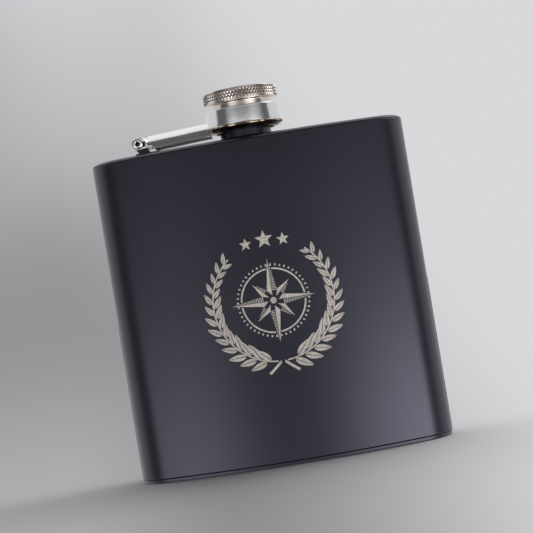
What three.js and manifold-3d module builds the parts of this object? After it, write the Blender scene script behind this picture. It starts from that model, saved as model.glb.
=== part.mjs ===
// A hip flask with a captive screw cap, in millimetres, +Z up.
// The flask stands on its base at z = 0, and its convex front faces -Y.
// The origin is the centre of its outline, on the ground.
// Sheet steel makes the wrapped body, the shoulder plate and the base plate.
// A turned neck stands in the shoulder. The cap turns and slides in a collar on a swinging arm,
// so it can be unscrewed but not lost.
import * as THREE from "three";
import { mergeVertices } from "three/addons/utils/BufferGeometryUtils.js";
import Module from "manifold-3d";

// Body: a section of constant thickness, bent round a centreline arc so that it sits on a hip.
const bodyWidth = 92.4;
const bodyHeight = 95;
const bodyThickness = 22.4;
const bendRadius = 109;
const sheet = 0.6;
const arcSteps = 12;

// Plates that close the body: a rim that shows, and a skirt that sits inside the body.
const baseRim = 1.2;
const baseRound = 0.6;
const baseRoundHeight = 0.5;
const shoulderRim = 1.0;
const shoulderRound = 2.4;
const plateThickness = 0.8;
const skirtDepth = 3;
const skirtGap = 0.1;
const skirtWall = 0.7;
const seamGap = 0.05;

// Neck: a plain boss below, a thread of fine pitch above it, and a bore right through.
// It stands a little to the right of the middle.
const neckX = 0.45;
const neckBore = 5.8;
const bossRadius = 7.45;
const bossTop = bodyHeight + 2.7;
const neckHole = 6.6;
const neckFlange = 8.6;
const neckMouth = bodyHeight + 8.5;
const threadRoot = 6.45;
const threadCrest = 6.95;
const threadPitch = 1.5;

// Collar: a drawn ring with a top plate, and a flared ring that closes it below.
const collarRadius = 11.0;
const collarWall = 0.7;
const collarHole = 8.6;
const collarBottom = bodyHeight + 4.0;
const collarTop = bodyHeight + 8.9;
const brimRadius = 11.45;
const brimBottom = bodyHeight + 2.4;
const brimTop = bodyHeight + 3.95;

// Cap: a knurled head on a barrel that passes through the collar.
const capRadius = 10.85;
const capBottom = bodyHeight + 3.1;
const headBottom = bodyHeight + 10.7;
const capTop = bodyHeight + 14.3;
const barrelRadius = 8.35;
const capBore = 7.5;
const capThreadRoot = 7.75;
const capThreadCrest = 7.42;
const capLift = 2.4;
const knurlTeeth = 70;
const knurlRows = 4;
const knurlDepth = 0.35;
const headEdge = 0.2;
const sealThickness = 1.0;
const sealRadius = 7.3;
const grooveRadius = 8.0;
const ringRadius = 10.0;
const ringThickness = 0.9;

// Hinge: a rivet pin through a knuckle on the shoulder and two curled eyes on the arm.
const pinX = -31.0;
const pinZ = bodyHeight + 3.3;
const pinRadius = 1.1;
const pinHole = 0.6;
const pinHoleDepth = 1.2;
const pinLength = 8.9;
const runningGap = 0.05;
const eyeRadius = 1.85;
const eyeWidth = 1.75;
const eyeTail = 4.3;
const eyeTailRise = 0.35;
const knuckleWidth = 4.2;
const slotWidth = 4.7;
const slotLength = 2.9;
const footLength = 7;
const footThickness = 0.45;
const footOverhang = 1.2;
const lugWidth = 3.2;
const lugInset = 0.2;
const lugTop = 1.6;

// Arm: an arched strip from the hinge to the collar.
const armRadius = 4.6;
const armArch = 1.5;
const armSheet = 0.75;
const armFlatHalf = 4.1;
const armRise = THREE.MathUtils.degToRad(3);
const armFlatLength = 1.2;
const armFlatArch = 0.08;
const armInset = 3.5;
const weldGap = 0.3;

// How the arm's end folds from flat to arched: distance from the pin, outer radius, half-angle.
const armFolds = [
  [1.9, 6.5, 0.68],
  [2.6, armRadius, 1.03],
  [4.9, armRadius, armArch],
];

// What follows from the sizes above.
const endRadius = bodyThickness / 2;
const endX = bodyWidth / 2 - endRadius;
const bendAngle = Math.asin(endX / bendRadius);
const frontDepth = bendRadius + endRadius;
const backDepth = bendRadius * Math.cos(bendAngle) - endRadius;
const bendY = (frontDepth + backDepth) / 2;
const endY = bendY - bendRadius * Math.cos(bendAngle);
const axisY = bendY - bendRadius;
const roundSegments = 48;

const coating = new THREE.MeshStandardMaterial({ color: 0x25242b, roughness: 0.5, metalness: 0.2 });
const steel = new THREE.MeshStandardMaterial({ color: 0xc9cbcf, roughness: 0.15, metalness: 1 });
const nickel = new THREE.MeshStandardMaterial({ color: 0xcfc6bf, roughness: 0.2, metalness: 1 });
const silicone = new THREE.MeshStandardMaterial({ color: 0xdedcd4, roughness: 0.6, metalness: 0 });

const wasm = await Module();
wasm.setup();

// A closed geometry as a solid that can be cut and joined.
function solid(geometry) {
  const bare = geometry.index ? geometry.toNonIndexed() : geometry.clone();
  bare.deleteAttribute("normal");
  bare.deleteAttribute("uv");
  const merged = mergeVertices(bare, 1e-4);
  return new wasm.Manifold(
    new wasm.Mesh({
      numProp: 3,
      vertProperties: merged.attributes.position.array,
      triVerts: new Uint32Array(merged.index.array),
    }),
  );
}

// A cut or joined solid as a geometry again.
function geometryOf(made) {
  const mesh = made.getMesh();
  return new THREE.BufferGeometry()
    .setAttribute("position", new THREE.BufferAttribute(mesh.vertProperties, 3))
    .setIndex(new THREE.BufferAttribute(mesh.triVerts, 1));
}

// The body's outline in plan, moved in by inset all round.
function bodyOutline(inset, Type = THREE.Shape) {
  const down = -Math.PI / 2;
  const up = Math.PI / 2;
  const outline = new Type();
  outline.absarc(0, bendY, frontDepth - inset, down - bendAngle, down + bendAngle, false);
  outline.absarc(endX, endY, endRadius - inset, down + bendAngle, up + bendAngle, false);
  outline.absarc(0, bendY, bendRadius - endRadius + inset, down + bendAngle, down - bendAngle, true);
  outline.absarc(-endX, endY, endRadius - inset, up - bendAngle, 3 * up - bendAngle, false);
  return outline;
}

// A straight solid with the body's outline from bottom to top, hollow if it has an inner inset.
function bodyPrism(inset, bottom, top, innerInset) {
  const shape = bodyOutline(inset);
  if (innerInset !== undefined) shape.holes.push(bodyOutline(innerInset, THREE.Path));
  return new THREE.ExtrudeGeometry(shape, {
    depth: top - bottom,
    curveSegments: arcSteps,
    bevelEnabled: false,
  }).translate(0, 0, bottom);
}

// A closed solid through rings of points. All rings have the same count and turn the same way.
function loft(rings) {
  const count = rings[0].length;
  const flat = rings[0].map((p) => new THREE.Vector2(p.u, p.v));
  const cap = THREE.ShapeUtils.triangulateShape(flat, []);
  const last = (rings.length - 1) * count;
  const faces = cap.flatMap(([a, b, c]) => [a, c, b, last + a, last + b, last + c]);
  for (let j = 0; j < rings.length - 1; j++)
    for (let i = 0; i < count; i++) {
      const [a, b] = [j * count + i, j * count + ((i + 1) % count)];
      faces.push(a, b, b + count, a, b + count, a + count);
    }
  const positions = rings.flatMap((ring) => ring.flatMap((p) => p.at));
  return new THREE.BufferGeometry()
    .setAttribute("position", new THREE.Float32BufferAttribute(positions, 3))
    .setIndex(faces);
}

// A solid with the body's outline whose edge follows [inset, height] steps.
function roundedPlate(steps) {
  return loft(
    steps.map(([inset, z]) => {
      const points = bodyOutline(inset).getPoints(arcSteps);
      const next = (i) => points[(i + 1) % points.length];
      const unique = points.filter((p, i) => p.distanceTo(next(i)) > 1e-6);
      return unique.map((p) => ({ u: p.x, v: p.y, at: [p.x, p.y, z] }));
    }),
  );
}

// A quarter of an ellipse as [inset, height] steps, from its upright side to its flat side.
function quarterRound(width, height, from, steps = 4) {
  return Array.from({ length: steps + 1 }, (_, i) => {
    const t = (i / steps) * (Math.PI / 2);
    return [width * (1 - Math.cos(t)), from + height * Math.sin(t)];
  });
}

// A turned piece about the neck's axis. Its [radius, height] points close on themselves,
// or start and end on the axis. A point's third value is the depth of a thread there.
function turned(profile, segments = roundSegments) {
  const closed = profile[0][0] > 0;
  const points = closed ? [...profile, profile[0]] : profile;
  const lathe = new THREE.LatheGeometry(points.map(([r, z]) => new THREE.Vector2(r, z)), segments);
  lathe.rotateX(Math.PI / 2);
  const at = lathe.attributes.position;
  for (let i = 0; i < at.count; i++) {
    const depth = points[i % points.length][2] ?? 0;
    if (!depth) continue;
    const [x, y, z] = [at.getX(i), at.getY(i), at.getZ(i)];
    const turn = Math.atan2(y, x) / (2 * Math.PI);
    const wave = 0.5 + 0.5 * Math.cos(2 * Math.PI * (z / threadPitch - turn));
    const grown = 1 + (depth * wave) / Math.hypot(x, y);
    at.setXY(i, x * grown, y * grown);
  }
  return lathe.translate(neckX, axisY, 0);
}

// Profile points along a threaded stretch, which is plain at both of its ends.
function threadedStretch(radius, depth, from, to, rows) {
  return Array.from({ length: rows + 1 }, (_, i) => {
    const z = from + ((to - from) * i) / rows;
    const plain = i === 0 || i === rows;
    return [radius, z, plain ? 0 : depth];
  });
}

// A flat outline in the XZ plane as a solid of some width, centred on the neck's axis in Y or moved from it.
function sideways(shape, width, offset = 0) {
  return new THREE.ExtrudeGeometry(shape, { depth: width, curveSegments: 16, bevelEnabled: false })
    .rotateX(Math.PI / 2)
    .translate(0, axisY + offset + width / 2, 0);
}

function disc(x, z, radius, Type = THREE.Shape) {
  return new Type().absarc(x, z, radius, 0, 2 * Math.PI, false);
}

function rectangle(x0, x1, z0, z1) {
  return new THREE.Shape([
    new THREE.Vector2(x0, z0),
    new THREE.Vector2(x1, z0),
    new THREE.Vector2(x1, z1),
    new THREE.Vector2(x0, z1),
  ]);
}

// The wrapped side wall, open at both ends.
function bodyShell() {
  return bodyPrism(0, baseRim + seamGap, bodyHeight - shoulderRim - seamGap, sheet);
}

// The skirt of a plate, which sits just inside the body wall.
function skirt(bottom, top) {
  const outer = sheet + skirtGap;
  return solid(bodyPrism(outer, bottom, top, outer + skirtWall));
}

// The base is a shallow tray with its skirt up.
function basePlate() {
  const rounding = quarterRound(baseRound, baseRoundHeight, 0);
  const edge = rounding.map(([inset, z]) => [inset, baseRoundHeight - z]).reverse();
  const plate = solid(roundedPlate([...edge, [0, baseRim]]));
  const pocket = solid(bodyPrism(sheet + skirtGap + skirtWall, plateThickness, baseRim + 1));
  return geometryOf(plate.subtract(pocket).add(skirt(plateThickness, baseRim + skirtDepth)));
}

// The shoulder is the same tray upside down, with a wide soft edge and a hole for the neck.
function shoulderPlate() {
  const low = bodyHeight - shoulderRim;
  const edge = quarterRound(shoulderRound, shoulderRim - 0.05, low + 0.05);
  const plate = solid(roundedPlate([[0, low], ...edge]));
  const high = bodyHeight + 1;
  const hole = solid(turned([[0, low - 1], [neckHole, low - 1], [neckHole, high], [0, high]]));
  return geometryOf(plate.add(skirt(low - skirtDepth, low + 0.2)).subtract(hole));
}

// The neck has a flange under the shoulder, a plain boss above it and a thread up to the mouth.
function threadedNeck() {
  const under = bodyHeight - shoulderRim - seamGap;
  const stem = neckHole - 2 * seamGap;
  const depth = threadCrest - threadRoot;
  return turned([
    [neckBore, under - plateThickness],
    [neckFlange, under - plateThickness],
    [neckFlange, under],
    [stem, under],
    [stem, bodyHeight + seamGap],
    [bossRadius, bodyHeight + seamGap],
    [bossRadius, bossTop - 0.3],
    [bossRadius - 0.3, bossTop],
    ...threadedStretch(threadRoot, depth, bossTop + 0.2, neckMouth - 0.3, 16),
    [threadRoot - 0.2, neckMouth],
    [neckBore, neckMouth],
  ]);
}

// The knuckle stands on a foot that is welded to the shoulder.
function hingeBracket() {
  const bottom = bodyHeight + seamGap;
  const lug = new THREE.Shape([
    new THREE.Vector2(pinX + lugInset, bottom),
    new THREE.Vector2(pinX + lugInset + lugWidth, bottom),
    new THREE.Vector2(pinX + lugTop, pinZ),
    new THREE.Vector2(pinX - lugTop, pinZ - 2 * lugInset),
  ]);
  const foot = rectangle(pinX - 1, pinX - 1 + footLength, bottom, bottom + footThickness);
  const made = solid(sideways(disc(pinX, pinZ, eyeRadius - 0.1), knuckleWidth))
    .add(solid(sideways(lug, knuckleWidth)))
    .add(solid(sideways(foot, knuckleWidth + 2 * footOverhang)));
  return geometryOf(made.subtract(solid(sideways(disc(pinX, pinZ, pinRadius + runningGap), bodyThickness))));
}

// The pin turns with the arm. It is a rivet, drilled a little way in at both ends.
function hingePin() {
  const rod = solid(sideways(disc(pinX, pinZ, pinRadius), pinLength));
  const middle = (pinLength - pinHoleDepth) / 2;
  const drilled = [-1, 1].map((side) =>
    solid(sideways(disc(pinX, pinZ, pinHole), pinHoleDepth + 0.1, side * (middle + 0.05))),
  );
  return geometryOf(rod.subtract(drilled[0]).subtract(drilled[1]));
}

// One section of the arm: an arched strip at x, with its outer radius and its half-angle.
function armSection(x, radius, arch) {
  const top = pinZ + eyeRadius + (x - pinX) * Math.tan(armRise);
  const half = 10;
  const strip = (r, sign) =>
    Array.from({ length: half + 1 }, (_, i) => {
      const a = sign * arch * (1 - (2 * i) / half);
      const [y, z] = [axisY + r * Math.sin(a), top - radius + r * Math.cos(a)];
      return { u: y, v: z, at: [x, y, z] };
    });
  return [...strip(radius, 1), ...strip(radius - armSheet, -1)];
}

// The arm: an arched strip with a slanting end, flattened only where it is curled into two eyes.
function lidArm() {
  const reach = collarRadius + weldGap;
  const flatRadius = armFlatHalf / Math.sin(armFlatArch);
  const stations = [
    [pinX, flatRadius, armFlatArch],
    [pinX + armFlatLength, flatRadius, armFlatArch],
    ...armFolds.map(([along, radius, arch]) => [pinX + along, radius, arch]),
    [neckX + armInset - reach, armRadius, armArch],
  ];
  const strip = solid(loft(stations.map((station) => armSection(...station))));
  const notch = rectangle(pinX - slotLength, pinX + slotLength, pinZ - slotLength, pinZ + slotLength);
  const slot = solid(sideways(notch, slotWidth));
  const wide = brimRadius + weldGap;
  const step = brimTop + weldGap;
  const bed = solid(
    turned([[0, bodyHeight], [wide, bodyHeight], [wide, step], [reach, step], [reach, capTop], [0, capTop]]),
  );
  const low = pinZ - eyeRadius;
  const tail = new THREE.Shape([
    new THREE.Vector2(pinX, low),
    new THREE.Vector2(pinX + eyeTail, low + eyeTailRise),
    new THREE.Vector2(pinX + eyeTail, low + eyeTailRise + armSheet),
    new THREE.Vector2(pinX, low + armSheet),
  ]);
  const eyes = [-1, 1].map((side) => {
    const offset = (side * (slotWidth + eyeWidth)) / 2;
    const curl = solid(sideways(disc(pinX, pinZ, eyeRadius), eyeWidth, offset));
    return curl.add(solid(sideways(tail, eyeWidth, offset)));
  });
  const bore = solid(sideways(disc(pinX, pinZ, pinRadius + runningGap), bodyThickness));
  return geometryOf(strip.subtract(slot).subtract(bed).add(eyes[0]).add(eyes[1]).subtract(bore));
}

// The collar is a drawn ring with a top plate, open below.
function lidCollar() {
  const inner = collarRadius - collarWall;
  return turned([
    [inner, collarBottom],
    [collarRadius, collarBottom],
    [collarRadius, collarTop - 0.4],
    [collarRadius - 0.12, collarTop - 0.12],
    [collarRadius - 0.4, collarTop],
    [collarHole, collarTop],
    [collarHole, collarTop - 0.6],
    [inner, collarTop - 0.6],
  ]);
}

// The flared ring closes the collar from below. Its underside slopes in towards the neck.
function collarBrim() {
  return turned([
    [collarHole, brimBottom],
    [collarHole + 0.7, brimBottom],
    [brimRadius - 0.3, brimTop - 1.0],
    [brimRadius, brimTop - 0.7],
    [brimRadius, brimTop - 0.3],
    [brimRadius - 0.3, brimTop],
    [collarHole, brimTop],
  ]);
}

// The ring in the barrel's groove, which the collar holds captive.
function capRetainingRing() {
  const bottom = brimTop + 0.15;
  return turned([
    [grooveRadius + 0.06, bottom],
    [ringRadius, bottom],
    [ringRadius, bottom + ringThickness],
    [grooveRadius + 0.06, bottom + ringThickness],
  ]);
}

// The head has a knurled band: crests and hollows set like the fields of a chessboard.
function knurledHead() {
  const columns = knurlTeeth * 2;
  const ring = (radiusAt, z) =>
    Array.from({ length: columns }, (_, i) => {
      const a = (i / columns) * 2 * Math.PI;
      const [x, y] = [neckX + radiusAt(i) * Math.cos(a), axisY + radiusAt(i) * Math.sin(a)];
      return { u: x, v: y, at: [x, y, z] };
    });
  const low = headBottom + headEdge;
  const high = capTop - headEdge;
  const chamfer = () => capRadius - knurlDepth - headEdge;
  const band = Array.from({ length: knurlRows + 1 }, (_, j) => {
    const tooth = (i) => capRadius - ((i + j) % 2) * knurlDepth;
    return ring(tooth, low + ((high - low) * j) / knurlRows);
  });
  return loft([ring(chamfer, headBottom), ...band, ring(chamfer, capTop)]);
}

// The cap: knurled head, barrel with a groove for its ring, and a threaded bore.
function screwCap() {
  const ringBottom = brimTop + 0.15 - runningGap;
  const ringTop = ringBottom + ringThickness + 2 * runningGap;
  const ceiling = neckMouth + 2 * seamGap + sealThickness;
  const threadTop = neckMouth - 0.5;
  const depth = capThreadCrest - capThreadRoot;
  const barrel = turned([
    [0, ceiling],
    [capBore, ceiling],
    [capBore, threadTop + 0.2],
    ...threadedStretch(capThreadRoot, depth, threadTop, threadTop - capLift, 10),
    [capBore, threadTop - capLift - 0.2],
    [capBore, capBottom],
    [barrelRadius, capBottom],
    [barrelRadius, ringBottom],
    [grooveRadius, ringBottom],
    [grooveRadius, ringTop],
    [barrelRadius, ringTop],
    [barrelRadius, headBottom + 0.5],
    [0, headBottom + 0.5],
  ]);
  return geometryOf(solid(barrel).add(solid(knurledHead())));
}

// The soft disc that seals the mouth.
function capSeal() {
  const bottom = neckMouth + seamGap;
  return turned([
    [0, bottom],
    [sealRadius, bottom],
    [sealRadius, bottom + sealThickness],
    [0, bottom + sealThickness],
  ]);
}

const pieces = {
  body_shell: [bodyShell(), coating],
  shoulder_plate: [shoulderPlate(), coating],
  base_plate: [basePlate(), coating],
  threaded_neck: [threadedNeck(), coating],
  hinge_bracket: [hingeBracket(), coating],
  hinge_pin: [hingePin(), steel],
  lid_arm: [lidArm(), steel],
  lid_collar: [lidCollar(), steel],
  collar_brim: [collarBrim(), nickel],
  cap_retaining_ring: [capRetainingRing(), steel],
  screw_cap: [screwCap(), nickel],
  cap_seal: [capSeal(), silicone],
};

const flask = new THREE.Group();
for (const [name, [geometry, material]] of Object.entries(pieces)) {
  const mesh = new THREE.Mesh(geometry, material);
  mesh.name = name;
  flask.add(mesh);
}

export default flask;
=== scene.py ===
# %% [markdown]
# # A hip flask, piece by piece
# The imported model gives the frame: which pieces there are, where they sit and how they move.
# This script gives each piece its fine shape and its finish. It only adds looks: places come from
# the frame's own boxes where a box tells them, and nothing is moved or resized.

# %% Load the frame
import math

import bmesh
import bpy
import numpy as np
from mathutils import Matrix, Vector


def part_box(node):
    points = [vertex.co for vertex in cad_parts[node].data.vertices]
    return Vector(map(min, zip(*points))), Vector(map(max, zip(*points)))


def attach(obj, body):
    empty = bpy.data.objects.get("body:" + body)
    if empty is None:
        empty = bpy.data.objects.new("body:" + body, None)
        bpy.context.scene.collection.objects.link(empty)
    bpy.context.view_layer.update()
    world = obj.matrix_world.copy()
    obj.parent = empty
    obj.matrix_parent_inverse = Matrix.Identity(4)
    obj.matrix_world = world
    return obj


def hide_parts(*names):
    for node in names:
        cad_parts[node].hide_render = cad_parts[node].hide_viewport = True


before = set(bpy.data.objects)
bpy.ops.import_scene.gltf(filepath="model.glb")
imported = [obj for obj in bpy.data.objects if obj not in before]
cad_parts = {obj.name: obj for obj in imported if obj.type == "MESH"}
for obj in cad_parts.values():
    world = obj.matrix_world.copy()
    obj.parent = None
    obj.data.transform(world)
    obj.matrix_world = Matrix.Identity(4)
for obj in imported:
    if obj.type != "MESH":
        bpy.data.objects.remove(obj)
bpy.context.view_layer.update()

MM = 0.001

# %% [markdown]
# ## Node trees as expressions
# Shader and Geometry Nodes trees are both graphs of sockets. Wired by hand, even simple maths takes
# a screenful of nodes. Here one small class wraps a socket and overloads the operators, so that
# `1 - mask` adds its own Math node. Everything else comes from one method, which takes a node's
# type, its settings and its sockets.

# %% A socket that does maths, and a graph that makes nodes
class Value:
    """A socket of a node tree. Maths on it adds Math nodes."""

    def __init__(self, graph, socket):
        self.graph = graph
        self.socket = socket

    def __add__(self, other):
        return self.graph.maths("ADD", self, other)

    def __sub__(self, other):
        return self.graph.maths("SUBTRACT", self, other)

    def __mul__(self, other):
        return self.graph.maths("MULTIPLY", self, other)

    def __truediv__(self, other):
        return self.graph.maths("DIVIDE", self, other)

    def __rsub__(self, other):
        return self.graph.maths("SUBTRACT", other, self)

    __radd__ = __add__
    __rmul__ = __mul__


class Graph:
    """A node tree, with one method that makes any node."""

    def __init__(self, tree):
        self.tree = tree

    def make(self, kind, settings=None, sockets=None):
        """Adds a node: its settings first, then the values or links of its sockets."""
        node = self.tree.nodes.new(kind)
        for name, value in (settings or {}).items():
            setattr(node, name, value)
        for name, value in (sockets or {}).items():
            self.feed(node.inputs[name], value)
        return node

    def feed(self, socket, value):
        if isinstance(value, Value):
            self.tree.links.new(value.socket, socket)
        else:
            socket.default_value = value

    def out(self, node, name=0):
        return Value(self, node.outputs[name])

    def maths(self, operation, *values):
        node = self.make("ShaderNodeMath", {"operation": operation}, dict(enumerate(values)))
        return self.out(node)

    def combine(self, x, y, z):
        return self.out(self.make("ShaderNodeCombineXYZ", None, {"X": x, "Y": y, "Z": z}))

    def split(self, vector):
        node = self.make("ShaderNodeSeparateXYZ", None, {"Vector": vector})
        return [self.out(node, axis) for axis in "XYZ"]

    def spread(self, value, low, high, new_low=0.0, new_high=1.0):
        """Maps low..high to new_low..new_high with soft ends, and holds it there."""
        sockets = {"Value": value, "From Min": low, "From Max": high}
        sockets |= {"To Min": new_low, "To Max": new_high}
        return self.out(self.make("ShaderNodeMapRange", {"interpolation_type": "SMOOTHSTEP"}, sockets))

    def mix(self, factor, first, second):
        """Mixes two colours."""
        node = self.make("ShaderNodeMix", {"data_type": "RGBA"}, {0: factor, 6: first, 7: second})
        return self.out(node, 2)

    def noise(self, vector, scale, detail=2.0, roughness=0.5):
        sockets = {"Vector": vector, "Scale": scale, "Detail": detail, "Roughness": roughness}
        return self.out(self.make("ShaderNodeTexNoise", None, sockets), "Fac")

    def bump(self, height, distance, strength=1.0):
        sockets = {"Height": height, "Distance": distance, "Strength": strength}
        return self.out(self.make("ShaderNodeBump", None, sockets), "Normal")


def surface(name, constants, varying):
    """A material: constants sit on the shader's sockets, and varying returns the links."""
    material = bpy.data.materials.new(name)
    material.use_nodes = True
    graph = Graph(material.node_tree)
    shader = material.node_tree.nodes["Principled BSDF"]
    place = graph.out(graph.make("ShaderNodeTexCoord"), "Object")
    for socket, value in (constants | varying(graph, place)).items():
        graph.feed(shader.inputs[socket], value)
    print("material", name, "with", len(material.node_tree.nodes), "nodes")
    return material


# %% [markdown]
# ## Finishes
# The body is powder coated: a fine matte skin with a slight grain, almost black, a little violet.
# It could be one flat colour, but then it looks like plastic. Three noises at three scales do
# the work: a slow one for tone, a middle one for gloss, and a fine one for the grain's bump.

# %% Powder coat
BLACK, DARK_VIOLET = (0.0060, 0.0055, 0.0090, 1), (0.0085, 0.0078, 0.0125, 1)


def powder(graph, place):
    drift = graph.noise(place, 45, 3)
    cloud = graph.noise(place, 420, 2)
    grain = graph.noise(place, 5200, 1)
    fine = graph.noise(place, 1900, 1)
    tone = graph.mix(graph.spread(drift, 0.3, 0.7), BLACK, DARK_VIOLET)
    fleck = graph.spread(grain, 0.62, 0.78, 0, 0.35)
    colour = graph.mix(fleck, tone, (0.022, 0.021, 0.026, 1))
    gloss = 0.29 + 0.03 * drift + 0.03 * cloud
    normal = graph.bump(grain + 0.8 * fine, 0.003 * MM)
    return {"Base Color": colour, "Roughness": gloss, "Normal": normal}


coating = surface("powder_coat", {
    "Specular IOR Level": 0.5, "IOR": 1.55, "Specular Tint": (0.80, 0.80, 1.0, 1),
}, powder)

# %% [markdown]
# The collar, the arm and the cap are bare metal. Metal has no colour pattern of its own, but two finishes
# here carry painted light:
# painted reflections on the brim and painted shade in the pin's drilled holes. What tells polished from
# turned is the direction of its fine lines. Around the neck's axis, lines of constant radius plus height
# run round a cylinder and in rings on a flat face, so one formula fits both.

# %% Metals
neck_low, neck_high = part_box("threaded_neck")
AXIS_X, AXIS_Y = (neck_low.x + neck_high.x) / 2, (neck_low.y + neck_high.y) / 2
print("neck axis at", round(AXIS_X / MM, 3), round(AXIS_Y / MM, 3), "mm")

pin_low, pin_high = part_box("hinge_pin")
PIN_X = (pin_low.x + pin_high.x) / 2 / MM
PIN_Z = (pin_low.z + pin_high.z) / 2 / MM


def lathe_lines(graph, place, fineness):
    """Noise in rings about the neck's axis, a little broken up along each ring."""
    x, y, z = graph.split(place)
    across, away = x - AXIS_X, y - AXIS_Y
    radius = graph.maths("SQRT", across * across + away * away)
    rings = graph.combine((radius + z) * fineness, x * 60, y * 60)
    return graph.noise(rings, 1.0, 3, 0.6)


def polished(graph, place):
    lines = lathe_lines(graph, place, 9000)
    smear = graph.noise(place, 350, 2)
    colour = graph.mix(smear, (0.66, 0.665, 0.68, 1), (0.76, 0.76, 0.765, 1))
    return {
        "Base Color": colour,
        "Roughness": 0.09 + 0.10 * lines + 0.05 * smear,
        "Normal": graph.bump(lines, 0.0016 * MM),
    }


def turned_nickel(graph, place):
    lines = lathe_lines(graph, place, 6500)
    smear = graph.noise(place, 500, 3)
    colour = graph.mix(smear, (0.54, 0.48, 0.435, 1), (0.68, 0.63, 0.585, 1))
    return {
        "Base Color": colour,
        "Roughness": 0.13 + 0.12 * lines + 0.06 * smear,
        "Normal": graph.bump(lines, 0.003 * MM),
    }


def drawn(graph, place):
    x, y, z = graph.split(place)
    streaks = graph.noise(graph.combine(x * 120, y * 9000, z * 9000), 1.0, 3, 0.6)
    smear = graph.noise(place, 350, 2)
    colour = graph.mix(smear, (0.64, 0.64, 0.64, 1), (0.74, 0.735, 0.73, 1))
    return {
        "Base Color": colour,
        "Roughness": 0.12 + 0.12 * streaks + 0.05 * smear,
        "Normal": graph.bump(streaks, 0.002 * MM),
    }


def drilled(graph, place):
    x, y, z = graph.split(place)
    across, over = x - PIN_X * MM, z - PIN_Z * MM
    radius = graph.maths("SQRT", across * across + over * over)
    values = polished(graph, place)
    # Painted shade: inside the drilled hole the colour turns near black, standing in for the shade deep in
    # the hole. The steel there is the same as outside.
    clear_of_painted_hole_shade = graph.spread(radius, 0.56 * MM, 0.66 * MM)
    return values | {"Base Color": graph.mix(clear_of_painted_hole_shade, (0.01, 0.01, 0.01, 1), values["Base Color"])}


def nickel_with_painted_reflections(graph, place):
    values = turned_nickel(graph, place)
    ripple = graph.noise(place, 330, 1)
    # Painted reflections: patches of dark brown and bright warm colour stand in for reflections on the
    # brim. Only the ripple is a real bump.
    painted_reflection_patches = graph.spread(graph.noise(place, 420, 1), 0.44, 0.62)
    colour = graph.mix(painted_reflection_patches, (0.13, 0.085, 0.065, 1), (0.78, 0.60, 0.44, 1))
    return values | {"Base Color": colour, "Normal": graph.bump(ripple, 0.25 * MM)}


def knurled_nickel(graph, place):
    values = turned_nickel(graph, place)
    wear = graph.noise(place, 600, 2)
    colour = graph.mix(wear, (0.27, 0.24, 0.22, 1), (0.46, 0.42, 0.385, 1))
    return values | {"Base Color": colour, "Roughness": 0.22 + 0.12 * wear}


steel = surface("polished_steel", {"Metallic": 1.0}, polished)
nickel = surface("warm_nickel", {"Metallic": 1.0}, turned_nickel)
pin_steel = surface("steel_with_painted_hole_shade", {"Metallic": 1.0}, drilled)
brim_nickel_with_painted_reflections = surface("nickel_with_painted_reflections", {"Metallic": 1.0}, nickel_with_painted_reflections)
grip_nickel = surface("knurled_nickel", {"Metallic": 1.0}, knurled_nickel)
drawn_steel = surface("drawn_steel", {"Metallic": 1.0}, drawn)

# %% [markdown]
# The seal is soft silicone: pale, cloudy, and a little see-through, so light scatters under its skin.
# The engraving is bare steel where a laser took the coating off. Its beam runs in close lines, which
# make it look pale from every side instead of mirror-like.

# %% Seal and engraving
def silicone(graph, place):
    cloud = graph.noise(place, 300, 3)
    colour = graph.mix(cloud, (0.66, 0.65, 0.60, 1), (0.78, 0.77, 0.73, 1))
    return {"Base Color": colour, "Roughness": 0.5 + 0.15 * cloud, "Normal": graph.bump(cloud, 0.02 * MM)}


LASER_PITCH = 0.11 * MM


def laser_cut(graph, place):
    x, y, z = graph.split(place)
    wobble = graph.noise(place, 900, 2)
    lines = graph.maths("SINE", (z * (2 * math.pi / LASER_PITCH)) + wobble * 3)
    speck = graph.noise(place, 2600, 2, 0.6)
    drift = graph.noise(place, 120, 2)
    shade = graph.spread(speck + 0.25 * drift, 0.42, 0.82)
    colour = graph.mix(shade, (0.36, 0.325, 0.285, 1), (0.60, 0.56, 0.505, 1))
    height = 0.5 * lines + speck
    return {"Base Color": colour, "Roughness": 0.46 + 0.2 * speck, "Normal": graph.bump(height, 0.006 * MM)}


seal_skin = surface("silicone", {"Subsurface Weight": 0.2, "Subsurface Scale": 0.5 * MM}, silicone)
engraved = surface("engraved_steel", {"Metallic": 0.55}, laser_cut)

# %% [markdown]
# ## Shared shapes
# Two rules make nearly all of the flask. A turned piece is a profile spun about the neck's axis.
# A wrapped piece is a profile carried round the body's bent outline. Real metal has no knife edges,
# so every profile is written as corners with a small radius, and one function rounds them.

# %% Round the corners of a profile
def rounded(corners, steps=5):
    """Corners are (a, b, radius). Each is replaced by a short arc, and a radius of 0 keeps it sharp."""
    count = len(corners)
    points = []
    for i, (a, b, radius) in enumerate(corners):
        here = Vector((a, b))
        if radius == 0:
            points.append(here)
            continue
        back = Vector(corners[i - 1][:2]) - here
        ahead = Vector(corners[(i + 1) % count][:2]) - here
        half = back.angle(ahead) / 2
        reach = min(radius / math.tan(half), 0.49 * back.length, 0.49 * ahead.length)
        start = here + back.normalized() * reach
        end = here + ahead.normalized() * reach
        centre = here + (back.normalized() + ahead.normalized()).normalized() * reach / math.cos(half)
        first, last = start - centre, end - centre
        turn = first.angle_signed(last, 0)
        for step in range(steps + 1):
            angle = -turn * step / steps
            spoke = Matrix.Rotation(angle, 2) @ first
            points.append(centre + spoke)
    return points


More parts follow.
